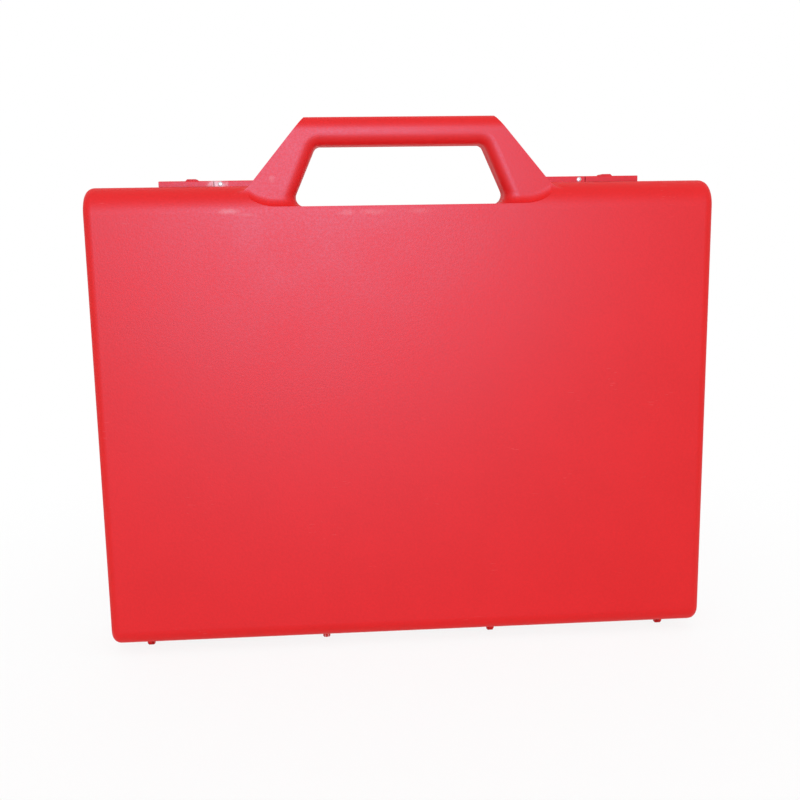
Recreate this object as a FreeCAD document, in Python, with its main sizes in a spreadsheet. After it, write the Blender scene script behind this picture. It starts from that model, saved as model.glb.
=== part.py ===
import FreeCAD, Part
import math
import os
import re
import Sketcher

# A flat carry case for art supplies, standing upright on its hinge edge.
# Case frame: x to the right, y to the rear with the parting plane at 0,
# z up with the underside of the shells at 0. Every finished piece is then
# placed so that the origin is at the middle of the footprint.

SIZES = (
    ("case_width", 370.0, "width of both shells"),
    ("case_height", 277.5, "height of both shells without handle and hinges"),
    ("lid_depth", 18.0, "parting plane to the lid's front"),
    ("base_depth", 34.0, "parting plane to the base's back"),
    ("wall", 2.4, "wall of both mouldings"),
    ("top_round", 15.5, "rounding along the top edge of each shell"),
    ("bottom_round", 10.0, "rounding along the bottom edge of each shell"),
    ("side_round", 5.5, "rounding of the sides and corners"),
    ("handle_shift", -1.5, "handle's middle from the case's middle"),
    ("handle_half", 13.0, "thickness of each half of the handle"),
    ("handle_rise", 38.7, "top of the handle above the shells"),
    ("handle_top_half", 55.6, "half the handle's width at its top"),
    ("handle_root_half", 88.1, "half the handle's width at its roots"),
    ("arm_round", 7.0, "rounding between the handle's arms and the lid"),
    ("handle_top_round", 8.0, "rounding along the top of the grip"),
    ("bar_height", 16.4, "height of the grip bar"),
    ("grip_top_half", 49.5, "half the hand opening's width under the bar"),
    ("grip_floor_half", 65.0, "half the hand opening's width at its floor"),
    ("grip_drop", 12.4, "floor of the hand opening below the shells' top"),
    ("grip_round", 7.0, "rounding of the opening's edges"),
    ("grip_corner", 4.0, "corner radius under the grip bar"),
    ("valley_flat", 7.7, "flat floor of the hand hollow beside the opening"),
    ("valley_half", 97.0, "half the hand hollow's width at the shells' top"),
    ("foot_cove", 5.5, "hollow rounding at the foot of the handle's arms"),
    ("tongue", 1.1, "thickness of the rim tongue"),
    ("tongue_length", 2.5, "how far the rim tongue enters the lid"),
    ("rim_gap", 0.25, "clearance round the rim tongue"),
    ("parting_gap", 0.3, "lid's rim before the parting plane"),
    ("hinge_drop", 3.2, "hinge axis below the shells"),
    ("knuckle_radius", 2.9, "radius of the hinge knuckles"),
    ("knuckle_width", 1.7, "width of a lid knuckle"),
    ("ear_width", 1.2, "width of a base ear"),
    ("ear_gap", 0.2, "gap between knuckle and ear"),
    ("ear_slope", 0.8, "chamfer on an ear's outer rim"),
    ("web_reach", 5.6, "how far a knuckle's web runs under its shell"),
    ("hinge_inset", 21.4, "outer hinges from the case's sides"),
    ("hinge_spacing", 110.8, "outer to inner hinges"),
    ("hinge_pin_radius", 0.9, "radius of a hinge pin"),
    ("running_gap", 0.05, "radial clearance of a pin in a moving knuckle"),
    ("seat_gap", 0.02, "radial clearance of a pin in its seat"),
    ("pin_chamfer", 0.25, "chamfer on the ends of a hinge pin"),
    ("foot_side", 45.0, "middle of a foot from the case's sides"),
    ("foot_width", 18.0, "width of a foot"),
    ("foot_depth", 7.0, "depth of a foot"),
    ("foot_inset", 12.0, "a foot's rear from the base's back"),
    ("foot_round", 1.2, "rounding of a foot's lower rim"),
    ("ridge_height", 3.5, "ridge and slide above the shells"),
    ("ridge_depth", 12.0, "ridge from front to rear"),
    ("ridge_setback", 0.5, "ridge behind the parting plane"),
    ("ridge_length", 22.9, "fixed ridge from the handle's root"),
    ("ridge_round", 0.5, "rounding along the ridge's and slide's top"),
    ("ridge_roof", 0.65, "roof over the slide's tongue"),
    ("slide_gap", 0.2, "clearance round the slide"),
    ("end_gap", 0.5, "gap between ridge and slide"),
    ("slide_length", 32.0, "length of the thumb slide"),
    ("slide_travel", 8.0, "travel of the slide"),
    ("bar_place", 12.8, "middle of the thumb bar from the slide's inner end"),
    ("bar_width", 7.2, "width of the thumb bar at its foot"),
    ("bar_rise", 1.1, "thumb bar above the slide"),
    ("tongue_half", 2.5, "half the width of the slide's tongue and stem"),
    ("slide_tongue", 0.6, "thickness of the slide's tongue"),
    ("tongue_reach", 14.0, "slide's tongue inside the ridge"),
    ("lip_width", 1.2, "lip at the tongue's end"),
    ("lip_drop", 1.2, "height of that lip"),
    ("stem_place", 4.5, "stem from the slide's inner end"),
    ("stem_length", 10.0, "length of the slide's stem"),
    ("peg_length", 6.0, "length of the stem's peg through the bolt"),
    ("peg_half", 1.5, "half the width of that peg"),
    ("peg_gap", 0.05, "clearance of the peg in the bolt"),
    ("bolt_place", 1.5, "bolt from the slide's inner end"),
    ("bolt_length", 35.0, "length of the bolt"),
    ("bolt_half", 3.5, "half the width of the bolt"),
    ("bolt_height", 4.0, "height of the bolt"),
    ("bolt_boss", 16.0, "length of the bolt's boss under the wall"),
    ("boss_height", 2.35, "height of that boss"),
    ("boss_gap", 0.25, "gap between boss and wall"),
    ("keeper_gap", 1.5, "bolt's tip to the keeper at rest"),
    ("keeper_width", 4.0, "width of the keeper"),
    ("keeper_clear", 0.4, "clearance of the bolt in the keeper"),
    ("keeper_roof", 1.4, "keeper above its hole"),
    ("keeper_floor", 2.2, "keeper below and behind its hole"),
    ("keeper_root", 6.5, "keeper's root in the lid from the parting plane"),
    ("latch_pin_place", 3.5, "latch pin from the ridge's outer end"),
    ("latch_pin_height", 1.5, "latch pin above the shells"),
    ("latch_pin_radius", 0.5, "shank of the latch pin"),
    ("latch_head_radius", 1.45, "head of the latch pin"),
    ("latch_head_rise", 0.6, "dome of that head"),
)

doc = FreeCAD.newDocument("art_supply_case")
sheet = doc.addObject("Spreadsheet::Sheet", "sizes")
for row, (alias, number, meaning) in enumerate(SIZES, start=1):
    sheet.set(f"A{row}", meaning)
    sheet.set(f"B{row}", str(number))
    sheet.setAlias(f"B{row}", alias)
doc.recompute()
size = {alias: float(sheet.get(alias)) for alias, number, meaning in SIZES}

# Slopes of the handle's sides and of the hand opening, as run per rise.
OUTER_SLOPE = "((handle_root_half - handle_top_half) / handle_rise)"
GRIP_HEIGHT = "(handle_rise - bar_height + grip_drop)"
INNER_SLOPE = f"((grip_floor_half - grip_top_half) / {GRIP_HEIGHT})"
OUTER_WALL = f"(wall * sqrt(1 + {OUTER_SLOPE}^2))"
INNER_WALL = f"(wall * sqrt(1 + {INNER_SLOPE}^2))"
FLOOR = "(case_height - grip_drop)"
BAR_UNDER = "(case_height + handle_rise - bar_height)"
HANDLE_TOP = "(case_height + handle_rise)"
RIDGE_TOP = "(case_height + ridge_height)"
RIDGE_MIDDLE = "(ridge_setback + ridge_depth / 2)"
WALL_UNDER = "(case_height - wall)"
BOSS_TOP = f"({WALL_UNDER} - boss_gap)"
BOLT_TOP = f"({BOSS_TOP} - boss_height)"
BOLT_UNDER = f"({BOLT_TOP} - bolt_height)"
TONGUE_TOP = f"({RIDGE_TOP} - ridge_roof - slide_gap)"
RIDGE_END = "(handle_root_half + ridge_length)"
SLIDE_START = f"({RIDGE_END} + end_gap)"
SLIDE_END = f"({SLIDE_START} + slide_length)"
STEM_START = f"({SLIDE_START} + stem_place)"
STEM_END = f"({STEM_START} + stem_length)"
PEG_START = f"({STEM_START} + (stem_length - peg_length) / 2)"
PEG_END = f"({PEG_START} + peg_length)"
BOLT_START = f"({SLIDE_START} + bolt_place)"
KEEPER_START = f"({BOLT_START} + bolt_length + keeper_gap)"
LATCH_PIN = f"({RIDGE_END} - latch_pin_place)"
HINGES = {
    "outer": "(case_width / 2 - hinge_inset)",
    "inner": "(case_width / 2 - hinge_inset - hinge_spacing)",
}
# Room that a cutting form reaches past what it cuts.
SPARE = 5.0
NEAR = 0.01


def bind(thing, prop, formula):
    """Bind one property to a formula written with the names of the sizes."""
    words = re.sub(r"[a-z_]+", lambda m: f"sizes.{m[0]}" if m[0] in size else m[0], str(formula))
    thing.setExpression(prop, words)


def span(side, near, far):
    """Order two distances from a middle plane into a low and a high place on one side of it."""
    if side > 0:
        return f"({near})", f"({far})"
    return f"-({far})", f"-({near})"


def box(name, x, y, z):
    """A block between pairs of low and high places."""
    block = doc.addObject("Part::Box", name)
    for prop, axis, (low, high) in (("Length", "x", x), ("Width", "y", y), ("Height", "z", z)):
        bind(block, prop, f"({high}) - ({low})")
        bind(block, f"Placement.Base.{axis}", low)
    return block


def rod(name, axis, radius, x, y, z, length):
    """A round bar whose start is at x, y, z and which runs along axis."""
    bar = doc.addObject("Part::Cylinder", name)
    bar.Placement.Rotation = FreeCAD.Rotation(FreeCAD.Vector(0, 0, 1), FreeCAD.Vector(*axis))
    bind(bar, "Radius", radius)
    bind(bar, "Height", length)
    for letter, place in zip("xyz", (x, y, z)):
        bind(bar, f"Placement.Base.{letter}", place)
    return bar


def outline(name, corners):
    """A closed sketch of straight lines in the xz plane, each corner held by two formulas."""
    sketch = doc.addObject("Sketcher::SketchObject", name)
    sketch.Placement.Rotation = FreeCAD.Rotation(FreeCAD.Vector(1, 0, 0), 90)
    count = len(corners)
    turn = [FreeCAD.Vector(math.cos(k), math.sin(k), 0) for k in range(count)]
    for k in range(count):
        sketch.addGeometry(Part.LineSegment(turn[k], turn[(k + 1) % count]), False)
    for k in range(count):
        sketch.addConstraint(Sketcher.Constraint("Coincident", k, 2, (k + 1) % count, 1))
    for k, corner in enumerate(corners):
        for kind, place in zip(("DistanceX", "DistanceY"), corner):
            start = turn[k].x if kind == "DistanceX" else turn[k].y
            held = sketch.addConstraint(Sketcher.Constraint(kind, -1, 1, k, 1, start))
            bind(sketch, f"Constraints[{held}]", place)
    return sketch


def prism(name, corners, y, x="0"):
    """A sketch in the xz plane, moved by x, carried from a low to a high place along y."""
    sketch = outline(f"{name}_outline", corners)
    bind(sketch, "Placement.Base.x", x)
    bind(sketch, "Placement.Base.y", y[1])
    body = doc.addObject("Part::Extrusion", name)
    body.Base = sketch
    body.DirMode = "Normal"
    body.Solid = True
    bind(body, "LengthFwd", f"({y[1]}) - ({y[0]})")
    return body


def fuse(name, *pieces):
    joined = doc.addObject("Part::MultiFuse", name)
    joined.Shapes = list(pieces)
    joined.Refine = True
    return joined


def cut(name, piece, *tools):
    result = doc.addObject("Part::Cut", name)
    result.Base = piece
    result.Tool = tools[0] if len(tools) == 1 else fuse(f"{name}_tools", *tools)
    result.Refine = True
    return result


def rounded(name, piece, radius, chosen):
    """Round the edges whose bounding box passes the test."""
    doc.recompute()
    numbers = [k for k, edge in enumerate(piece.Shape.Edges, start=1) if chosen(edge.BoundBox)]
    if not numbers:
        raise ValueError(f"{name}: no edge to round")
    result = doc.addObject("Part::Fillet", name)
    result.Base = piece
    result.Edges = [(k, radius, radius) for k in numbers]
    doc.recompute()
    return result


def along(edge, axis):
    """True where an edge is straight along one axis."""
    lengths = {"x": edge.XLength, "y": edge.YLength, "z": edge.ZLength}
    return lengths[axis] > NEAR and all(lengths[other] < NEAR for other in "xyz" if other != axis)


def near(place, other):
    return abs(place - other) < NEAR


def place(piece, label):
    """Name a finished piece and carry it from the case frame to the part's frame."""
    piece.Label = label
    bind(piece, "Placement.Base.y", "(lid_depth - base_depth) / 2")
    bind(piece, "Placement.Base.z", "hinge_drop + knuckle_radius")
    return piece


def shell_form(name, side, depth, inset):
    """A block with rounded top, bottom and sides, drawn in by inset all round."""
    width = f"case_width / 2 - {inset}"
    form = box(
        f"{name}_block",
        (f"-({width})", width),
        span(side, "0", f"{depth} - {inset}"),
        (inset, f"case_height - {inset}"),
    )
    taken = size["wall"] if inset == "wall" else 0.0
    face = side * (size[depth] - taken)
    top = size["case_height"] - taken
    flank = size["case_width"] / 2 - taken
    form = rounded(
        f"{name}_top", form, size["top_round"] - taken,
        lambda e: along(e, "x") and near(e.YMin, face) and near(e.ZMin, top),
    )
    form = rounded(
        f"{name}_bottom", form, size["bottom_round"] - taken,
        lambda e: along(e, "x") and near(e.YMin, face) and near(e.ZMin, taken),
    )
    return rounded(
        f"{name}_sides", form, size["side_round"] - taken,
        lambda e: e.XLength < NEAR and near(abs(e.XMin), flank) and e.YLength > NEAR or (
            along(e, "z") and near(abs(e.XMin), flank) and near(e.YMin, face)
        ),
    )


def handle_form(name, side):
    """The handle's outer outline, one half thick, rounded along its top."""
    corners = [(f"(handle_root_half + {OUTER_SLOPE} * grip_drop)", FLOOR), ("handle_top_half", HANDLE_TOP)]
    corners += [(f"-{x}", z) for x, z in reversed(corners)]
    form = prism(name, corners, span(side, "0", "handle_half"), "handle_shift")
    face = side * size["handle_half"]
    top = size["case_height"] + size["handle_rise"]
    return rounded(
        f"{name}_round", form, size["handle_top_round"],
        lambda e: along(e, "x") and near(e.YMin, face) and near(e.ZMin, top),
    )


def outer_form(name, side, depth):
    """One shell with its half of the handle."""
    return fuse(name, shell_form(f"{name}_shell", side, depth, "0"), handle_form(f"{name}_handle", side))


def arm_feet(name, joined):
    """Round the lid where the handle's arms rise from it."""
    top = size["case_height"]
    return rounded(
        name, joined, size["arm_round"],
        lambda e: top - size["grip_drop"] < e.ZMin and e.ZMax < top + NEAR
        and abs(e.Center.x - size["handle_shift"]) < size["handle_root_half"] + SPARE
        and NEAR < -e.Center.y < size["handle_half"] + NEAR,
    )


def grip_cut(name, side, depth):
    """The space for the hand: the opening, the hollow before the arms and the coves at their feet."""
    drop = size["grip_drop"]
    floor = size["case_height"] - drop
    under = size["case_height"] + size["handle_rise"] - size["bar_height"]
    face = side * size["handle_half"]
    flat_half = "(grip_floor_half + valley_flat)"
    bend_run = size["valley_half"] - size["grip_floor_half"] - size["valley_flat"]
    bend = (bend_run ** 2 + drop ** 2) / (2 * drop)
    bend_radius = f"(((valley_half - {flat_half})^2 + grip_drop^2) / (2 * grip_drop))"
    reach = f"{flat_half} + {bend_radius}"
    valley = box(
        f"{name}_valley",
        (f"handle_shift - ({reach})", f"handle_shift + {reach}"),
        span(side, "handle_half", f"{depth} + {SPARE}"),
        (FLOOR, f"{HANDLE_TOP} + {SPARE}"),
    )
    valley = rounded(
        f"{name}_bends", valley, bend,
        lambda e: along(e, "y") and near(e.ZMin, floor),
    )
    corners = [("grip_floor_half", FLOOR), ("grip_top_half", BAR_UNDER)]
    corners += [(f"-{x}", z) for x, z in reversed(corners)]
    through = span(side, f"-{SPARE}", f"handle_half + {SPARE}")
    opening = prism(f"{name}_opening", corners, through, "handle_shift")
    opening = rounded(
        f"{name}_corners", opening, size["grip_corner"],
        lambda e: along(e, "y") and near(e.ZMin, under),
    )
    space = fuse(f"{name}_space", valley, opening)
    space = rounded(
        f"{name}_edges", space, size["grip_round"],
        lambda e: near(e.YMin, face) and near(e.YMax, face) and e.ZMax < under + NEAR
        and e.ZMax > floor + NEAR and abs(e.Center.x - size["handle_shift"]) < size["grip_floor_half"],
    )
    return rounded(
        f"{name}_coves", space, size["foot_cove"],
        lambda e: near(e.ZMin, floor) and near(e.ZMax, floor) and near(e.YMin, face)
        and near(e.YMax, face),
    )


def handle_hollow(name, side):
    """The inside of one half of the handle, one wall inside its outer form."""
    root = f"(handle_root_half - {OUTER_WALL})"
    crown = f"(handle_top_half + {OUTER_SLOPE} * wall - {OUTER_WALL})"
    leg = f"(grip_floor_half + {INNER_WALL})"
    under = f"(grip_top_half - {INNER_SLOPE} * wall + {INNER_WALL})"
    corners = [(leg, FLOOR), (root, FLOOR), (root, "case_height"), (crown, f"{HANDLE_TOP} - wall")]
    corners += [(f"-{x}", z) for x, z in reversed(corners)]
    corners += [(f"-{under}", f"{BAR_UNDER} + wall"), (under, f"{BAR_UNDER} + wall")]
    form = prism(name, corners, span(side, "0", "handle_half - wall"), "handle_shift")
    face = side * (size["handle_half"] - size["wall"])
    lower = size["case_height"] + size["handle_rise"] - size["bar_height"] + size["wall"]
    upper = size["case_height"] + size["handle_rise"] - size["wall"]
    form = rounded(
        f"{name}_corners", form, size["grip_corner"] + size["wall"],
        lambda e: along(e, "y") and near(e.ZMin, lower),
    )
    form = rounded(
        f"{name}_crown", form, size["handle_top_round"] - size["wall"],
        lambda e: along(e, "x") and near(e.YMin, face) and near(e.ZMin, upper),
    )
    return rounded(
        f"{name}_under", form, size["grip_round"] - size["wall"],
        lambda e: along(e, "x") and near(e.YMin, face) and near(e.ZMin, lower),
    )


def rim_form(name, y, *steps):
    """The inside of the rim, let out by the named sizes, between two places along y."""
    outset = " + ".join(("0", *steps))
    width = f"case_width / 2 - wall + {outset}"
    form = box(f"{name}_block", (f"-({width})", width), y,
               (f"wall - ({outset})", f"{WALL_UNDER} + {outset}"))
    radius = size["side_round"] - size["wall"] + sum(size[step] for step in steps)
    form = rounded(f"{name}_corners", form, radius, lambda e: along(e, "y"))
    return cut(name, form, notch_form(f"{name}_notch", y, outset))


def notch_form(name, y, outset):
    """The space under the handle and the hand hollow that the inside of the case leaves free."""
    corners = [
        (f"(handle_root_half + wall - ({outset}))", f"{FLOOR} - wall + ({outset})"),
        (f"(valley_half + wall - ({outset}))", f"{WALL_UNDER} + ({outset})"),
        (f"(valley_half + wall - ({outset}))", HANDLE_TOP),
    ]
    corners += [(f"-{x}", z) for x, z in reversed(corners)]
    return prism(name, corners, y, "handle_shift")


def inside_form(name, side, depth):
    form = shell_form(name, side, depth, "wall")
    notch = notch_form(f"{name}_notch", span(side, f"-{SPARE}", depth), "0")
    return cut(f"{name}_space", form, notch)


def hinge_places():
    for hand in (-1, 1):
        for where, distance in HINGES.items():
            yield hand, where, f"{hand} * {distance}"


def barrel(name, start, width, web_y):
    """One hinge knuckle with the web that joins it to its shell."""
    round_part = rod(f"{name}_round", (1, 0, 0), "knuckle_radius", start, "0", "-hinge_drop", width)
    web = box(f"{name}_web", (start, f"{start} + {width}"), web_y, ("-hinge_drop", "wall / 2"))
    return fuse(name, round_part, web)


def lid_knuckles():
    for hand, where, middle in hinge_places():
        yield barrel(f"knuckle_{where}_{hand + 1}", f"{middle} - knuckle_width / 2", "knuckle_width",
                     span(-1, "parting_gap", "web_reach"))


def base_ears():
    for hand, where, middle in hinge_places():
        for end in (-1, 1):
            inner, outer = "knuckle_width / 2 + ear_gap", "knuckle_width / 2 + ear_gap + ear_width"
            low, high = span(end, inner, outer)
            name = f"ear_{where}_{hand + 1}_{end + 1}"
            ear = barrel(name, f"{middle} + {low}", "ear_width", span(1, "0", "web_reach"))
            doc.recompute()
            rim = ear.Shape.BoundBox.XMax if end > 0 else ear.Shape.BoundBox.XMin
            bevel = doc.addObject("Part::Chamfer", f"{name}_bevel")
            bevel.Base = ear
            bevel.Edges = [
                (k, size["ear_slope"], size["ear_slope"])
                for k, edge in enumerate(ear.Shape.Edges, start=1)
                if near(edge.BoundBox.XMin, rim) and near(edge.BoundBox.XMax, rim)
                and edge.Curve.TypeId == "Part::GeomCircle"
            ]
            yield bevel


def pin_bores(name, gap):
    length = f"knuckle_width + 2 * (ear_gap + ear_width) + 2 * {SPARE}"
    for hand, where, middle in hinge_places():
        yield rod(f"{name}_{where}_{hand + 1}", (1, 0, 0), f"hinge_pin_radius + {gap}",
                  f"{middle} - ({length}) / 2", "0", "-hinge_drop", length)


def base_feet():
    middle = "case_width / 2 - foot_side"
    rear = "base_depth - foot_inset"
    for hand in (-1, 1):
        foot = box(
            f"foot_{hand + 1}",
            span(hand, f"{middle} - foot_width / 2", f"{middle} + foot_width / 2"),
            (f"{rear} - foot_depth", rear),
            ("-(hinge_drop + knuckle_radius)", "wall / 2"),
        )
        lowest = -(size["hinge_drop"] + size["knuckle_radius"])
        yield rounded(f"foot_{hand + 1}_round", foot, size["foot_round"],
                      lambda e: near(e.ZMax, lowest))


def latch_ridge(hand):
    """The fixed ridge beside the handle, hollow for the slide's tongue."""
    name = f"ridge_{hand + 1}"
    y = ("ridge_setback", "ridge_setback + ridge_depth")
    start = f"handle_root_half - {OUTER_WALL}"
    block = box(name, span(hand, start, RIDGE_END), y, ("case_height - wall / 2", RIDGE_TOP))
    top = size["case_height"] + size["ridge_height"]
    block = rounded(f"{name}_round", block, size["ridge_round"],
                    lambda e: along(e, "x") and near(e.ZMin, top))
    room = box(
        f"{name}_room",
        span(hand, f"{SLIDE_START} - tongue_reach - end_gap", f"{RIDGE_END} + {SPARE}"),
        (f"{RIDGE_MIDDLE} - tongue_half - slide_gap", f"{RIDGE_MIDDLE} + tongue_half + slide_gap"),
        ("case_height", f"{RIDGE_TOP} - ridge_roof"),
    )
    return cut(f"{name}_hollow", block, room)


def latch_slot(hand):
    """The slot in the base's top wall that the slide's stem travels in."""
    return box(
        f"stem_slot_{hand + 1}",
        span(hand, f"{STEM_START} - slide_gap", f"{STEM_END} + slide_travel + slide_gap"),
        (f"{RIDGE_MIDDLE} - tongue_half - slide_gap", f"{RIDGE_MIDDLE} + tongue_half + slide_gap"),
        (f"{WALL_UNDER} - {SPARE}", "case_height + wall"),
    )


def latch_pin_bore(hand):
    return rod(
        f"latch_bore_{hand + 1}", (0, 1, 0), "latch_pin_radius + seat_gap",
        f"{hand} * {LATCH_PIN}", f"ridge_setback - {SPARE}",
        "case_height + latch_pin_height", f"ridge_depth + 2 * {SPARE}",
    )


def keeper_places(hand):
    """Where a keeper stands along x and z."""
    x = span(hand, KEEPER_START, f"{KEEPER_START} + keeper_width")
    z = (f"{BOLT_UNDER} - keeper_clear - keeper_floor", f"{BOLT_TOP} + keeper_clear + keeper_roof")
    return x, z


def keeper_seat(hand):
    """The lid's boss round the keeper's tail, in front of the rim tongue."""
    x, z = keeper_places(hand)
    back = "-(tongue_length + rim_gap + keeper_clear)"
    return box(f"keeper_seat_{hand + 1}", (f"{x[0]} - wall", f"{x[1]} + wall"),
               ("-(keeper_root + wall)", back), (f"{z[0]} - wall", f"{WALL_UNDER} + wall / 2"))


def keeper_pocket(hand):
    """The room that the keeper's tail takes up in the lid."""
    x, z = keeper_places(hand)
    return box(f"keeper_pocket_{hand + 1}", (f"{x[0]} - peg_gap", f"{x[1]} + peg_gap"),
               ("-(keeper_root + peg_gap)", "keeper_root"), (f"{z[0]} - peg_gap", f"{z[1]} + peg_gap"))


def build_keeper(hand):
    """The steel finger that reaches from the lid into the base, with a hole for the bolt."""
    label = f"latch_keeper_{'left' if hand < 0 else 'right'}"
    x, z = keeper_places(hand)
    hole_y = (f"{RIDGE_MIDDLE} - bolt_half - keeper_clear", f"{RIDGE_MIDDLE} + bolt_half + keeper_clear")
    hole_z = (f"{BOLT_UNDER} - keeper_clear", f"{BOLT_TOP} + keeper_clear")
    bar = box(f"{label}_bar", x, ("-keeper_root", f"{hole_y[1]} + keeper_floor"), z)
    bar = rounded(f"{label}_ends", bar, size["keeper_floor"] / 2,
                  lambda e: along(e, "x") and e.YMin > 0)
    hole = box(f"{label}_hole", (f"{x[0]} - {SPARE}", f"{x[1]} + {SPARE}"), hole_y, hole_z)
    return place(cut(label, bar, hole), label)


def build_lid():
    hollow = cut(
        "lid_hollow",
        arm_feet("lid_arms", outer_form("lid_outer", -1, "lid_depth")),
        grip_cut("lid_grip", -1, "lid_depth"),
        inside_form("lid_inside", -1, "lid_depth"),
        handle_hollow("lid_handle_inside", -1),
    )
    rebate = rim_form("lid_rebate", ("-(tongue_length + rim_gap)", f"{SPARE}"), "tongue", "rim_gap")
    parting = box("lid_parting", ("-case_width", "case_width"), ("-parting_gap", f"{SPARE}"),
                  (f"-{SPARE}", f"{HANDLE_TOP} + {SPARE}"))
    rim = cut("lid_rim", hollow, rebate, parting)
    seats = [keeper_seat(hand) for hand in (-1, 1)]
    whole = fuse("lid_whole", rim, *seats, *lid_knuckles())
    pockets = [keeper_pocket(hand) for hand in (-1, 1)]
    return place(cut("lid_shell", whole, *pockets, *pin_bores("lid_bore", "running_gap")), "lid_shell")


def build_base():
    hollow = cut(
        "base_hollow",
        outer_form("base_outer", 1, "base_depth"),
        grip_cut("base_grip", 1, "base_depth"),
        inside_form("base_inside", 1, "base_depth"),
        handle_hollow("base_handle_inside", 1),
    )
    reach = ("-tongue_length", "wall")
    ring = cut(
        "rim_tongue",
        rim_form("tongue_outer", reach, "tongue"),
        rim_form("tongue_inner", ("-tongue_length - wall", "2 * wall")),
    )
    ridges = [latch_ridge(hand) for hand in (-1, 1)]
    whole = fuse("base_whole", hollow, ring, *ridges, *base_ears(), *base_feet())
    openings = [latch_slot(hand) for hand in (-1, 1)] + [latch_pin_bore(hand) for hand in (-1, 1)]
    return place(cut("base_shell", whole, *openings, *pin_bores("base_bore", "seat_gap")), "base_shell")


def build_hinge_pins():
    for hand, where, middle in hinge_places():
        label = f"hinge_pin_{'left' if hand < 0 else 'right'}_{where}"
        length = "knuckle_width + 2 * (ear_gap + ear_width)"
        pin = rod(f"{label}_rod", (1, 0, 0), "hinge_pin_radius",
                  f"{middle} - ({length}) / 2", "0", "-hinge_drop", length)
        doc.recompute()
        ends = doc.addObject("Part::Chamfer", label)
        ends.Base = pin
        ends.Edges = [
            (k, size["pin_chamfer"], size["pin_chamfer"])
            for k, edge in enumerate(pin.Shape.Edges, start=1) if edge.BoundBox.XLength < NEAR
        ]
        yield place(ends, label)


def build_slide(hand):
    """The thumb slide: plate with thumb bar, tongue with lip, stem and peg."""
    label = f"latch_slide_{'left' if hand < 0 else 'right'}"
    y = ("ridge_setback", "ridge_setback + ridge_depth")
    inner_y = ("ridge_setback + ridge_round", "ridge_setback + ridge_depth - ridge_round")
    stem_y = (f"{RIDGE_MIDDLE} - tongue_half", f"{RIDGE_MIDDLE} + tongue_half")
    peg_y = (f"{RIDGE_MIDDLE} - peg_half", f"{RIDGE_MIDDLE} + peg_half")
    shoulder = f"({RIDGE_TOP} - ridge_round)"
    plate = box(f"{label}_plate", span(hand, SLIDE_START, SLIDE_END), y,
                ("case_height + slide_gap", RIDGE_TOP))
    top = size["case_height"] + size["ridge_height"]
    tip = sum(size[step] for step in ("handle_root_half", "ridge_length", "end_gap", "slide_length"))
    plate = rounded(f"{label}_edges", plate, size["ridge_round"],
                    lambda e: near(e.ZMin, top) and (along(e, "x") or near(e.XMin, hand * tip)))
    crest = f"{RIDGE_TOP} + bar_rise"
    middle = f"{hand} * ({SLIDE_START} + bar_place)"
    left, right = f"{middle} - bar_width / 2", f"{middle} + bar_width / 2"
    corners = [(left, shoulder), (right, shoulder), (right, RIDGE_TOP), (f"{right} - bar_rise", crest),
               (f"{left} + bar_rise", crest), (left, RIDGE_TOP)]
    bar = prism(f"{label}_bar", corners, inner_y)
    tongue_end = f"{SLIDE_START} - tongue_reach"
    tongue = box(f"{label}_tongue", span(hand, tongue_end, f"{SLIDE_START} + tongue_half"), stem_y,
                 (f"{TONGUE_TOP} - slide_tongue", TONGUE_TOP))
    lip = box(f"{label}_lip", span(hand, tongue_end, f"{tongue_end} + lip_width"), stem_y,
              (f"{TONGUE_TOP} - slide_tongue - lip_drop", TONGUE_TOP))
    stem = box(f"{label}_stem", span(hand, STEM_START, STEM_END), stem_y, (BOSS_TOP, shoulder))
    peg = box(f"{label}_peg", span(hand, PEG_START, PEG_END), peg_y, (BOLT_UNDER, shoulder))
    return place(fuse(label, plate, bar, tongue, lip, stem, peg), label)


def build_bolt(hand):
    """The bolt inside the case, hung on the slide's peg."""
    label = f"latch_bolt_{'left' if hand < 0 else 'right'}"
    y = (f"{RIDGE_MIDDLE} - bolt_half", f"{RIDGE_MIDDLE} + bolt_half")
    bar_x = span(hand, BOLT_START, f"{BOLT_START} + bolt_length")
    bar = box(f"{label}_bar", bar_x, y, (BOLT_UNDER, BOLT_TOP))
    boss_x = span(hand, BOLT_START, f"{BOLT_START} + bolt_boss")
    boss = box(f"{label}_boss", boss_x, y, (BOLT_UNDER, BOSS_TOP))
    hole = box(
        f"{label}_hole",
        span(hand, f"{PEG_START} - peg_gap", f"{PEG_END} + peg_gap"),
        (f"{RIDGE_MIDDLE} - peg_half - peg_gap", f"{RIDGE_MIDDLE} + peg_half + peg_gap"),
        (f"{BOLT_UNDER} - {SPARE}", f"{BOSS_TOP} + {SPARE}"),
    )
    return place(cut(label, fuse(f"{label}_solid", bar, boss), hole), label)


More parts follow.
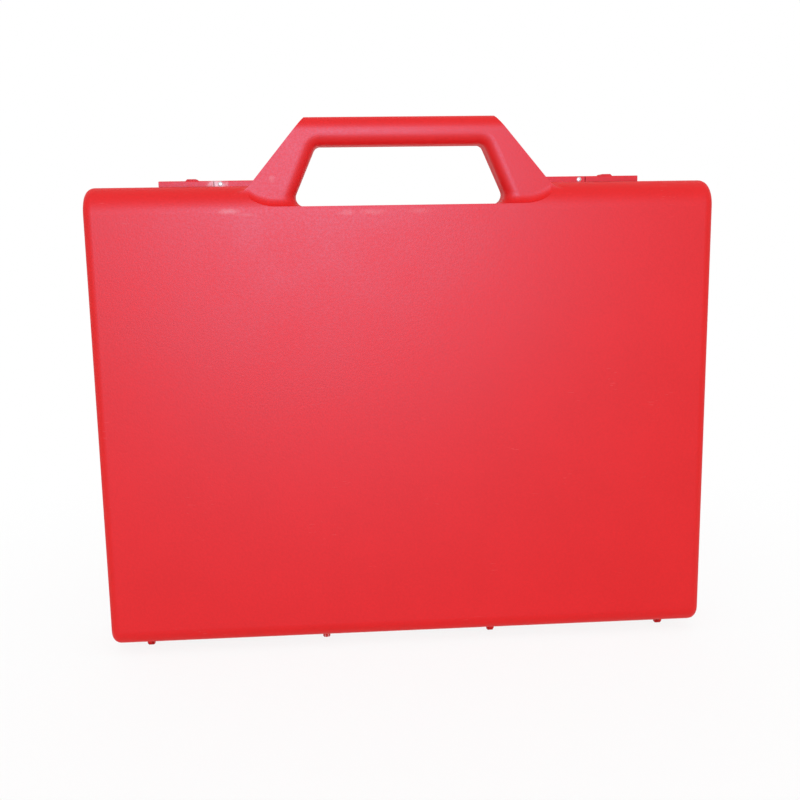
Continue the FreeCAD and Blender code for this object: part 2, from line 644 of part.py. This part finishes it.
def build_latch_pin(hand):
    """A round pin with a domed head on the ridge's front."""
    label = f"latch_pin_{'left' if hand < 0 else 'right'}"
    x, z = f"{hand} * {LATCH_PIN}", "case_height + latch_pin_height"
    shank = rod(f"{label}_shank", (0, 1, 0), "latch_pin_radius", x, "ridge_setback - latch_head_rise / 2", z,
                "ridge_depth + latch_head_rise / 2")
    ball = "((latch_head_radius^2 + latch_head_rise^2) / (2 * latch_head_rise))"
    dome = doc.addObject("Part::Sphere", f"{label}_dome")
    bind(dome, "Radius", ball)
    for letter, where in zip("xyz", (x, f"ridge_setback - latch_head_rise + {ball}", z)):
        bind(dome, f"Placement.Base.{letter}", where)
    reach = "2 * latch_head_radius"
    front = box(
        f"{label}_front",
        (f"{x} - {reach}", f"{x} + {reach}"),
        ("ridge_setback - 2 * latch_head_rise", "ridge_setback"),
        (f"{z} - {reach}", f"{z} + {reach}"),
    )
    head = doc.addObject("Part::MultiCommon", f"{label}_head")
    head.Shapes = [dome, front]
    return place(fuse(label, shank, head), label)


def build():
    pieces = [build_base(), build_lid(), *build_hinge_pins()]
    for hand in (-1, 1):
        pieces += [build_slide(hand), build_bolt(hand), build_latch_pin(hand), build_keeper(hand)]
    doc.recompute()
    for thing in doc.Objects:
        if "Invalid" in thing.State or "Error" in thing.State:
            raise RuntimeError(f"{thing.Label} did not recompute: {thing.State}")
    for piece in pieces:
        if piece.Shape.isNull() or not piece.Shape.isValid():
            raise RuntimeError(f"{piece.Label} has no valid shape")
    os.makedirs("parts", exist_ok=True)
    for piece in pieces:
        piece.Shape.exportStep(f"parts/{piece.Label}.step")
        print(f"{piece.Label}: {len(piece.Shape.Solids)} solid, {piece.Shape.Volume:.1f} mm3")


build()
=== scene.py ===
import math

import bpy
from bpy.props import FloatProperty, FloatVectorProperty, PointerProperty
from bpy.types import Operator, Panel, PropertyGroup
from mathutils import Matrix, Vector


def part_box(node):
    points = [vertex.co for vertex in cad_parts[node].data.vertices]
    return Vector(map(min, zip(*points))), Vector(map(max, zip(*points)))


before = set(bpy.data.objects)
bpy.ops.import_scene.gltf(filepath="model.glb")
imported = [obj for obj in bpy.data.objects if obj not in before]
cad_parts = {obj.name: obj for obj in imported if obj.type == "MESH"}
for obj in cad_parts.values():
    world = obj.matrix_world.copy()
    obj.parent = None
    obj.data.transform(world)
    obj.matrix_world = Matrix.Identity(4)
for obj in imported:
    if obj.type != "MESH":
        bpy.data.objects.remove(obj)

bl_info = {
    "name": "Art Supply Case",
    "version": (1, 0, 0),
    "blender": (4, 5, 0),
    "location": "View3D > Sidebar > Art Case",
    "description": "Dresses a moulded carry case: plastic shells, latches, pins and a white studio",
    "category": "Object",
}

SHELLS = ("base_shell", "lid_shell")
SLIDES = ("latch_slide_left", "latch_slide_right")
BOLTS = ("latch_bolt_left", "latch_bolt_right")
PINS = tuple(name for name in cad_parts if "pin" in name or "keeper" in name)

# Marks left by the mould, in metres.
WALL = 0.0024
EJECTOR_SPACING = 0.058
EJECTOR_RADIUS = 0.0042
EJECTOR_LINE = 0.0006
EJECTOR_HEIGHT = 0.0002
RIB_PITCH = 0.0012
RIB_BAND = 0.0009
RIB_HEIGHT = 0.00012

# Tone of the slides and bolts beside the shells, and how far the tone and roughness of one piece vary.
SLIDE_TONE = 0.97
BOLT_TONE = 0.9
TONE_SPREAD = 0.04
ROUGH_SPREAD = 0.08

# Rubbed plastic and painted highlights: the share of its colour that stays, the white that is added, and the
# change in roughness.
RUB_AND_HIGHLIGHT_COLOUR = 0.3
RUB_AND_HIGHLIGHT_WHITE = 0.62
RUB_AND_HIGHLIGHT_ROUGH = -0.12

# Painted highlights: pale spots that stand in for glints on the lid's top rounding left of the handle, along
# the lip of the handle opening, on the left arm and at the left latch; centre and reach in metres, and how
# pale each is.
PAINTED_HIGHLIGHTS = (
    ((-0.1014, -0.0255, 0.2688), (0.0085, 0.012, 0.0022), 0.18),
    ((-0.0920, -0.0260, 0.2668), (0.0085, 0.012, 0.0014), 0.06),
    ((-0.0340, -0.0260, 0.2672), (0.0060, 0.012, 0.0022), 0.10),
    ((-0.0180, -0.0260, 0.2674), (0.0110, 0.012, 0.0020), 0.10),
    ((0.0090, -0.0260, 0.2676), (0.0090, 0.012, 0.0018), 0.07),
    ((-0.0766, -0.0210, 0.2870), (0.0020, 0.006, 0.0028), 0.12),
    ((-0.1095, -0.0075, 0.2853), (0.0070, 0.006, 0.0040), 0.85),
)

# Tarnished steel beside clean steel.
TARNISH_TONE = 0.72
TARNISH_ROUGH = 0.18

# Broad lamps about the middle of the case, and a small flash beside the lens, in metres.
CASE_MIDDLE = (0.0, 0.0, 0.14)
LAMP_PLACES = {"softbox": (0.0, -2.4, 0.5), "overhead": (0.0, -0.8, 2.1), "fill": (0.0, 2.4, 0.7)}
LAMP_SIZE = 1.8
LAMP_COLOUR = (1.0, 0.99, 0.97)
FLASH_OFFSET = (-0.02, 0.0, 0.09)
FLASH_SIZE = 0.05
FLASH_COLOUR = (0.42, 0.65, 1.0)

# Half width of the floor, and how far from the middle its shadow starts to fade and is gone, in metres.
FLOOR_HALF = 6.0
SHADOW_FULL = 0.15
SHADOW_GONE = 0.55


class ShellFinish(PropertyGroup):
    """The red moulding of both shells."""

    colour: FloatVectorProperty(
        name="Colour", description="Colour of the plastic", subtype="COLOR", size=3,
        min=0.0, max=1.0, default=(0.70, 0.0095, 0.0095))
    roughness: FloatProperty(
        name="Roughness", description="Roughness of the grained faces", subtype="FACTOR",
        min=0.0, max=1.0, default=0.56)
    gloss: FloatProperty(
        name="Gloss", description="Mirror reflection head on, where 0.5 is clear plastic", subtype="FACTOR",
        min=0.0, max=1.0, default=0.22)
    grain: FloatProperty(
        name="Grain cell", description="Width of one cell of the moulded grain", unit="LENGTH",
        min=0.0001, max=0.01, default=0.0011, precision=5)
    depth: FloatProperty(
        name="Grain depth", description="Depth of the moulded grain", unit="LENGTH",
        min=0.0, max=0.001, default=0.00005, precision=6)
    scuffs: FloatProperty(
        name="Scuffs", description="How strongly pale rub marks show", subtype="FACTOR",
        min=0.0, max=1.0, default=0.06)


class MetalFinish(PropertyGroup):
    """The plated steel of pins and keepers."""

    colour: FloatVectorProperty(
        name="Colour", description="Colour of the plating", subtype="COLOR", size=3,
        min=0.0, max=1.0, default=(0.60, 0.56, 0.52))
    roughness: FloatProperty(
        name="Roughness", description="Roughness of the drawn wire", subtype="FACTOR",
        min=0.0, max=1.0, default=0.5)
    metal: FloatProperty(
        name="Bright metal", description="Share of bare metal under the dull zinc bloom", subtype="FACTOR",
        min=0.0, max=1.0, default=0.5)


class StudioLook(PropertyGroup):
    """Camera, lights and floor."""

    place: FloatVectorProperty(
        name="Camera", description="Place of the camera", subtype="TRANSLATION", unit="LENGTH",
        size=3, default=(-0.0450, -0.6124, 0.2581), precision=4)
    pitch: FloatProperty(
        name="Pitch", description="Camera tilted down", subtype="ANGLE", default=math.radians(9.85))
    yaw: FloatProperty(
        name="Yaw", description="Camera turned right", subtype="ANGLE", default=math.radians(3.95))
    roll: FloatProperty(
        name="Roll", description="Camera rolled", subtype="ANGLE", default=math.radians(-0.92))
    lens: FloatProperty(
        name="Lens", description="Focal length in millimetres on a 36 mm sensor", min=10.0, max=200.0,
        default=44.65)
    flash: FloatProperty(
        name="Flash", description="Power of the flash beside the lens in watts", min=0.0, default=12.6)
    softbox: FloatProperty(
        name="Softbox", description="Power of the broad front light in watts", min=0.0, default=20.0)
    overhead: FloatProperty(
        name="Overhead", description="Power of the broad light above in watts", min=0.0, default=12.0)
    fill: FloatProperty(
        name="Fill", description="Power of the broad light behind in watts", min=0.0, default=14.0)
    level: FloatProperty(
        name="Room light", description="Level of the light from all round", min=0.0, default=0.68)
    shadow: FloatProperty(
        name="Shadow", description="Share of the floor that takes shadow", subtype="FACTOR",
        min=0.0, max=1.0, default=0.12)


class Graph:
    """A node tree that is written one node at a time."""

    def __init__(self, tree):
        self.tree = tree

    def feed(self, socket, value):
        """Link a source socket to an input, or set a constant on it."""
        if isinstance(value, bpy.types.NodeSocket):
            self.tree.links.new(value, socket)
        else:
            socket.default_value = value

    def node(self, kind, *first, settings=None, **named):
        """A node with settings; sockets or constants feed its first inputs in order, or inputs by name."""
        made = self.tree.nodes.new(kind)
        for key, value in (settings or {}).items():
            setattr(made, key, value)
        for socket, value in zip(made.inputs, first):
            self.feed(socket, value)
        for key, value in named.items():
            self.feed(made.inputs[key.replace("_", " ")], value)
        return made

    def group(self, name, **named):
        """A shared group by name, with its inputs fed; returns its outputs."""
        made = self.tree.nodes.new("ShaderNodeGroup")
        made.node_tree = bpy.data.node_groups[name]
        for key, value in named.items():
            self.feed(made.inputs[key], value)
        return made.outputs

    def maths(self, operation, *values):
        """One maths node on sockets or numbers; returns its result."""
        return self.node("ShaderNodeMath", *values, settings={"operation": operation}).outputs[0]

    def vectors(self, operation, *values):
        """One vector maths node; returns its outputs, a Vector and a Value."""
        return self.node("ShaderNodeVectorMath", *values, settings={"operation": operation}).outputs

    def noise(self, vector, scale, detail, roughness=0.5):
        """Noise about one half, with scale in cells to the unit of vector."""
        made = self.node("ShaderNodeTexNoise", Vector=vector, Scale=scale, Detail=detail, Roughness=roughness)
        return made.outputs["Fac"]

    def ramp(self, source, low, high):
        """source carried to 0 at low and 1 at high, smoothly."""
        made = self.node("ShaderNodeMapRange", settings={"interpolation_type": "SMOOTHSTEP"},
                         Value=source, From_Min=low, From_Max=high)
        return made.outputs["Result"]

    def mix(self, factor, first, second):
        """Two colours mixed; each of the three is a socket or a constant."""
        made = self.node("ShaderNodeMix", settings={"data_type": "RGBA"})
        for index, value in ((0, factor), (6, first), (7, second)):
            self.feed(made.inputs[index], value)
        return made.outputs[2]


def new_group(name, inputs, outputs):
    """An empty shader group; returns its graph, its input sockets and its output node's inputs."""
    tree = bpy.data.node_groups.new(name, "ShaderNodeTree")
    for label, kind in inputs:
        tree.interface.new_socket(label, in_out="INPUT", socket_type=kind)
    for label in outputs:
        tree.interface.new_socket(label, in_out="OUTPUT", socket_type="NodeSocketFloat")
    graph = Graph(tree)
    start = graph.node("NodeGroupInput")
    end = graph.node("NodeGroupOutput")
    return graph, start.outputs, end.inputs


def grain_group():
    """Moulded grain: fine rounded cells for height, and soft patches and flecks of tone."""
    graph, start, end = new_group(
        "Moulded grain", (("Vector", "NodeSocketVector"), ("Cell", "NodeSocketFloat")), ("Height", "Mottle"))
    vector = start["Vector"]
    density = graph.maths("DIVIDE", 1.0, start["Cell"])
    cells = graph.node("ShaderNodeTexVoronoi", settings={"feature": "SMOOTH_F1"},
                       Vector=vector, Scale=density, Smoothness=0.6)
    fine = graph.noise(vector, density, 2.0, 0.6)
    graph.feed(end["Height"], graph.maths("MULTIPLY_ADD", cells.outputs["Distance"], -0.5, fine))
    patches = graph.noise(vector, 28.0, 4.0, 0.55)
    flecks = graph.noise(vector, 620.0, 2.0, 0.6)
    mottle = graph.maths("MULTIPLY_ADD", flecks, 0.6, graph.maths("MULTIPLY", patches, 0.4))
    graph.feed(end["Mottle"], graph.ramp(mottle, 0.3, 0.7))


def scuff_group():
    """Pale rub marks: short streaks, kept to patches that a broad noise picks out."""
    graph, start, end = new_group("Rub marks", (("Vector", "NodeSocketVector"),), ("Mask",))
    lean = graph.node("ShaderNodeMapping", Vector=start["Vector"],
                      Rotation=(0.0, 0.6, 0.0), Scale=(180.0, 180.0, 1600.0))
    streak = graph.ramp(graph.noise(lean.outputs["Vector"], 1.0, 2.0), 0.66, 0.74)
    patch = graph.ramp(graph.noise(start["Vector"], 35.0, 2.0), 0.58, 0.7)
    graph.feed(end["Mask"], graph.maths("MULTIPLY", streak, patch))


def spot_group():
    """One painted highlight: a pale ellipsoid about a centre, broken up by fine noise."""
    sockets = tuple((label, "NodeSocketVector") for label in ("Vector", "Centre", "Reach"))
    graph, start, end = new_group("Rubbed spot", sockets, ("Mask",))
    offset = graph.vectors("SUBTRACT", start["Vector"], start["Centre"])["Vector"]
    scaled = graph.vectors("DIVIDE", offset, start["Reach"])["Vector"]
    distance = graph.vectors("LENGTH", scaled)["Value"]
    flecks = graph.noise(start["Vector"], 420.0, 3.0)
    ragged = graph.maths("MULTIPLY_ADD", flecks, 1.1, graph.maths("SUBTRACT", distance, 0.55))
    graph.feed(end["Mask"], graph.ramp(ragged, 1.15, -0.15))


def ejector_group():
    """Rings left by ejector pins on the inner faces, in rows along x and z; Face is how far out those lie."""
    sockets = (("Vector", "NodeSocketVector"), ("Face", "NodeSocketFloat"),
               ("Spacing", "NodeSocketFloat"), ("Radius", "NodeSocketFloat"))
    graph, start, end = new_group("Ejector marks", sockets, ("Height",))
    parts = graph.node("ShaderNodeSeparateXYZ", Vector=start["Vector"]).outputs
    half = graph.maths("MULTIPLY", start["Spacing"], 0.5)
    across = graph.maths("SUBTRACT", graph.maths("FLOORED_MODULO", parts["X"], start["Spacing"]), half)
    up = graph.maths("SUBTRACT", graph.maths("FLOORED_MODULO", parts["Z"], start["Spacing"]), half)
    squares = graph.maths("ADD", graph.maths("MULTIPLY", across, across), graph.maths("MULTIPLY", up, up))
    edge = graph.maths("ABSOLUTE", graph.maths("SUBTRACT", graph.maths("SQRT", squares), start["Radius"]))
    ring = graph.ramp(edge, EJECTOR_LINE, 0.0)
    inside = graph.maths("COMPARE", graph.maths("ABSOLUTE", parts["Y"]), start["Face"], 0.001)
    graph.feed(end["Height"], graph.maths("MULTIPLY", ring, inside))


def rib_group():
    """Fine ribs across x above one height, for the thumb bars."""
    sockets = (("Vector", "NodeSocketVector"), ("Pitch", "NodeSocketFloat"), ("Above", "NodeSocketFloat"))
    graph, start, end = new_group("Thumb ribs", sockets, ("Height",))
    parts = graph.node("ShaderNodeSeparateXYZ", Vector=start["Vector"]).outputs
    turns = graph.maths("MULTIPLY", graph.maths("DIVIDE", parts["X"], start["Pitch"]), 2.0 * math.pi)
    top = graph.maths("GREATER_THAN", parts["Z"], start["Above"])
    graph.feed(end["Height"], graph.maths("MULTIPLY", graph.maths("SINE", turns), top))


def new_material(name):
    """A fresh material; returns it, its graph, its shader and its object coordinates."""
    material = bpy.data.materials.new(name)
    material.use_nodes = True
    tree = material.node_tree
    shader = next(node for node in tree.nodes if node.type == "BSDF_PRINCIPLED")
    graph = Graph(tree)
    coords = graph.node("ShaderNodeTexCoord").outputs["Object"]
    return material, graph, shader, coords


def shade(colour, factor):
    """A colour made darker or lighter, with alpha."""
    return tuple(min(1.0, part * factor) for part in colour) + (1.0,)


def plastic(name, finish, tone, spots=(), marks=None):
    """Moulded plastic: grain bump, uneven tone, pale rub marks, and pale spots that are painted highlights.

    marks is a further group of heights: its name, its values and its height in metres.
    """
    material, graph, shader, coords = new_material(name)
    grain = graph.group("Moulded grain", Vector=coords, Cell=finish.grain)
    rub_marks_and_highlights = graph.maths("MULTIPLY", graph.group("Rub marks", Vector=coords)["Mask"], finish.scuffs)
    # Each spot is a painted highlight, laid over the real rub marks.
    for centre, reach, paleness in spots:
        spot = graph.group("Rubbed spot", Vector=coords, Centre=centre, Reach=reach)["Mask"]
        rub_marks_and_highlights = graph.maths("MAXIMUM", rub_marks_and_highlights, graph.maths("MULTIPLY", spot, paleness))
    base = graph.mix(grain["Mottle"], shade(finish.colour, tone * (1.0 - TONE_SPREAD)),
                     shade(finish.colour, tone * (1.0 + TONE_SPREAD)))
    pale = tuple(RUB_AND_HIGHLIGHT_COLOUR * part + RUB_AND_HIGHLIGHT_WHITE for part in finish.colour) + (1.0,)
    graph.feed(shader.inputs["Base Color"], graph.mix(rub_marks_and_highlights, base, pale))
    smoothest = finish.roughness - ROUGH_SPREAD / 2
    rough = graph.maths("MULTIPLY_ADD", grain["Mottle"], ROUGH_SPREAD, smoothest)
    graph.feed(shader.inputs["Roughness"], graph.maths("MULTIPLY_ADD", rub_marks_and_highlights, RUB_AND_HIGHLIGHT_ROUGH, rough))
    normal = graph.node("ShaderNodeBump", Height=grain["Height"], Strength=1.0,
                        Distance=finish.depth).outputs["Normal"]
    if marks:
        group, values, depth = marks
        height = graph.group(group, Vector=coords, **values)["Height"]
        normal = graph.node("ShaderNodeBump", Height=height, Normal=normal, Strength=1.0,
                            Distance=depth).outputs["Normal"]
    graph.feed(shader.inputs["Normal"], normal)
    shader.inputs["Specular IOR Level"].default_value = finish.gloss
    return material


def steel(name, finish):
    """Plated wire: fine lines drawn along x with a little tarnish."""
    material, graph, shader, coords = new_material(name)
    drawn = graph.node("ShaderNodeMapping", Vector=coords, Scale=(120.0, 6000.0, 6000.0))
    lines = graph.noise(drawn.outputs["Vector"], 1.0, 3.0)
    tarnish = graph.ramp(graph.noise(coords, 900.0, 3.0), 0.5, 0.75)
    tones = graph.mix(tarnish, shade(finish.colour, 1.0), shade(finish.colour, TARNISH_TONE))
    graph.feed(shader.inputs["Base Color"], tones)
    rough = graph.maths("MULTIPLY_ADD", tarnish, TARNISH_ROUGH, finish.roughness)
    graph.feed(shader.inputs["Roughness"], rough)
    bump = graph.node("ShaderNodeBump", Height=lines, Strength=0.4, Distance=0.00001)
    graph.feed(shader.inputs["Normal"], bump.outputs["Normal"])
    shader.inputs["Metallic"].default_value = finish.metal
    return material


def dress(names, material):
    """Put a material on the slot of each named CAD node."""
    for name in names:
        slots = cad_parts[name].material_slots
        if len(slots) != 1:
            raise RuntimeError(f"{name} has {len(slots)} material slots, not one")
        slots[0].material = material


class ARTCASE_OT_groups(Operator):
    """Make the shared shader groups"""

    bl_idname = "art_case.groups"
    bl_label = "Shared Groups"

    def execute(self, context):
        for make in (grain_group, scuff_group, spot_group, ejector_group, rib_group):
            make()
        return {"FINISHED"}


class ARTCASE_OT_shells(Operator):
    """Dress the two moulded shells"""

    bl_idname = "art_case.shells"
    bl_label = "Shells"

    def execute(self, context):
        inner_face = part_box("base_shell")[1][1] - WALL
        rings = {"Face": inner_face, "Spacing": EJECTOR_SPACING, "Radius": EJECTOR_RADIUS}
        marks = ("Ejector marks", rings, EJECTOR_HEIGHT)
        # The shells carry the painted highlights as pale spots.
        dress(SHELLS, plastic("shell_moulding", context.scene.art_case_shell, 1.0, PAINTED_HIGHLIGHTS, marks))
        return {"FINISHED"}


class ARTCASE_OT_latches(Operator):
    """Dress the thumb slides and the bolts inside"""

    bl_idname = "art_case.latches"
    bl_label = "Latches"

    def execute(self, context):
        finish = context.scene.art_case_shell
        top = max(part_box(name)[1][2] for name in SLIDES)
        ribs = ("Thumb ribs", {"Pitch": RIB_PITCH, "Above": top - RIB_BAND}, RIB_HEIGHT)
        # The slides carry the painted highlights as pale spots.
        dress(SLIDES, plastic("slide_moulding", finish, SLIDE_TONE, PAINTED_HIGHLIGHTS, ribs))
        dress(BOLTS, plastic("bolt_moulding", finish, BOLT_TONE))
        return {"FINISHED"}


class ARTCASE_OT_pins(Operator):
    """Dress hinge pins, latch pins and keepers"""

    bl_idname = "art_case.pins"
    bl_label = "Pins and Keepers"

    def execute(self, context):
        dress(PINS, steel("plated_steel", context.scene.art_case_metal))
        return {"FINISHED"}


def area_light(name, place, target, size, power, colour, **seen):
    """A square light at place that faces target, with its ray visibility."""
    lamp = bpy.data.lights.new(name, "AREA")
    lamp.size = size
    lamp.energy = power
    lamp.color = colour
    holder = bpy.data.objects.new(name, lamp)
    aim = (Vector(target) - Vector(place)).to_track_quat("-Z", "Y")
    holder.matrix_world = Matrix.Translation(place) @ aim.to_matrix().to_4x4()
    for flag, value in seen.items():
        setattr(holder, f"visible_{flag}", value)
    bpy.context.scene.collection.objects.link(holder)


def unlit_rays(graph):
    """Two masks of rays that show the background itself: from the camera, and mirrored or through glass."""
    path = graph.node("ShaderNodeLightPath").outputs
    indirect = graph.maths("MAXIMUM", path["Is Glossy Ray"], path["Is Transmission Ray"])
    return path["Is Camera Ray"], indirect


def white_floor(look):
    """A pale floor that shows the white room through it and keeps a share of the shadow near the case."""
    half = FLOOR_HALF
    mesh = bpy.data.meshes.new("floor")
    corners = [(-half, -half, 0), (half, -half, 0), (half, half, 0), (-half, half, 0)]
    mesh.from_pydata(corners, [], [(0, 1, 2, 3)])
    floor = bpy.data.objects.new("floor", mesh)
    bpy.context.scene.collection.objects.link(floor)
    material, graph, shader, coords = new_material("studio_floor")
    shader.inputs["Base Color"].default_value = (0.9, 0.9, 0.9, 1.0)
    shader.inputs["Roughness"].default_value = 0.9
    shader.inputs["Specular IOR Level"].default_value = 0.1
    near = graph.ramp(graph.vectors("LENGTH", coords)["Value"], SHADOW_GONE, SHADOW_FULL)
    keep = graph.maths("MULTIPLY", near, look.shadow)
    direct, indirect = unlit_rays(graph)
    seen = graph.maths("MULTIPLY", direct, graph.maths("SUBTRACT", 1.0, keep))
    clear = graph.node("ShaderNodeBsdfTransparent").outputs[0]
    share = graph.maths("MAXIMUM", seen, indirect)
    blend = graph.node("ShaderNodeMixShader", share, shader.outputs[0], clear)
    end = next(node for node in graph.tree.nodes if node.type == "OUTPUT_MATERIAL")
    graph.feed(end.inputs["Surface"], blend.outputs[0])
    mesh.materials.append(material)


def white_room(look):
    """A world that shows as white and lights the case softly."""
    world = bpy.data.worlds.new("studio")
    world.use_nodes = True
    bpy.context.scene.world = world
    graph = Graph(world.node_tree)
    shader = next(node for node in world.node_tree.nodes if node.type == "BACKGROUND")
    shader.inputs["Color"].default_value = (1.0, 1.0, 1.0, 1.0)
    shown = graph.maths("MAXIMUM", *unlit_rays(graph))
    graph.feed(shader.inputs["Strength"], graph.maths("MAXIMUM", shown, look.level))


def lamps(look):
    """Three broad lamps that shape the case, and a small flash that only glints on it."""
    for name, place in LAMP_PLACES.items():
        area_light(name, place, CASE_MIDDLE, LAMP_SIZE, getattr(look, name), LAMP_COLOUR,
                   glossy=False, camera=False)
    flash = Vector(look.place) + Vector(FLASH_OFFSET)
    area_light("flash", flash, (flash.x, 0.0, flash.z), FLASH_SIZE, look.flash, FLASH_COLOUR,
               diffuse=False, camera=False)


def viewpoint(look):
    """The camera in front of the lid, a little to the left and looking slightly down."""
    lens = bpy.data.cameras.new("camera")
    lens.sensor_width = 36.0
    lens.lens = look.lens
    camera = bpy.data.objects.new("camera", lens)
    turn = (Matrix.Rotation(-look.yaw, 4, "Z") @ Matrix.Rotation(math.pi / 2 - look.pitch, 4, "X")
            @ Matrix.Rotation(look.roll, 4, "Z"))
    camera.matrix_world = Matrix.Translation(look.place) @ turn
    bpy.context.scene.collection.objects.link(camera)
    bpy.context.scene.camera = camera


class ARTCASE_OT_studio(Operator):
    """Set the floor, the room, the lights and the camera"""

    bl_idname = "art_case.studio"
    bl_label = "Studio"

    def execute(self, context):
        look = context.scene.art_case_studio
        white_floor(look)
        white_room(look)
        lamps(look)
        viewpoint(look)
        context.scene.view_settings.view_transform = "Standard"
        return {"FINISHED"}


class ARTCASE_PT_panel(Panel):
    """Settings of the case and its studio"""

    bl_label = "Art Case"
    bl_idname = "ARTCASE_PT_panel"
    bl_space_type = "VIEW_3D"
    bl_region_type = "UI"
    bl_category = "Art Case"

    def draw(self, context):
        scene = context.scene
        for settings in (scene.art_case_shell, scene.art_case_metal, scene.art_case_studio):
            box = self.layout.box()
            for name in settings.__annotations__:
                box.prop(settings, name)
        for operator in STEPS:
            self.layout.operator(operator.bl_idname)


STEPS = (ARTCASE_OT_groups, ARTCASE_OT_shells, ARTCASE_OT_latches, ARTCASE_OT_pins, ARTCASE_OT_studio)
CLASSES = (ShellFinish, MetalFinish, StudioLook, *STEPS, ARTCASE_PT_panel)


def register():
    for each in CLASSES:
        bpy.utils.register_class(each)
    bpy.types.Scene.art_case_shell = PointerProperty(type=ShellFinish)
    bpy.types.Scene.art_case_metal = PointerProperty(type=MetalFinish)
    bpy.types.Scene.art_case_studio = PointerProperty(type=StudioLook)


def unregister():
    del bpy.types.Scene.art_case_studio
    del bpy.types.Scene.art_case_metal
    del bpy.types.Scene.art_case_shell
    for each in reversed(CLASSES):
        bpy.utils.unregister_class(each)


def main():
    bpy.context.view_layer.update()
    register()
    bpy.ops.art_case.groups()
    bpy.ops.art_case.shells()
    bpy.ops.art_case.latches()
    bpy.ops.art_case.pins()
    bpy.ops.art_case.studio()


if __name__ == "__main__":
    main()
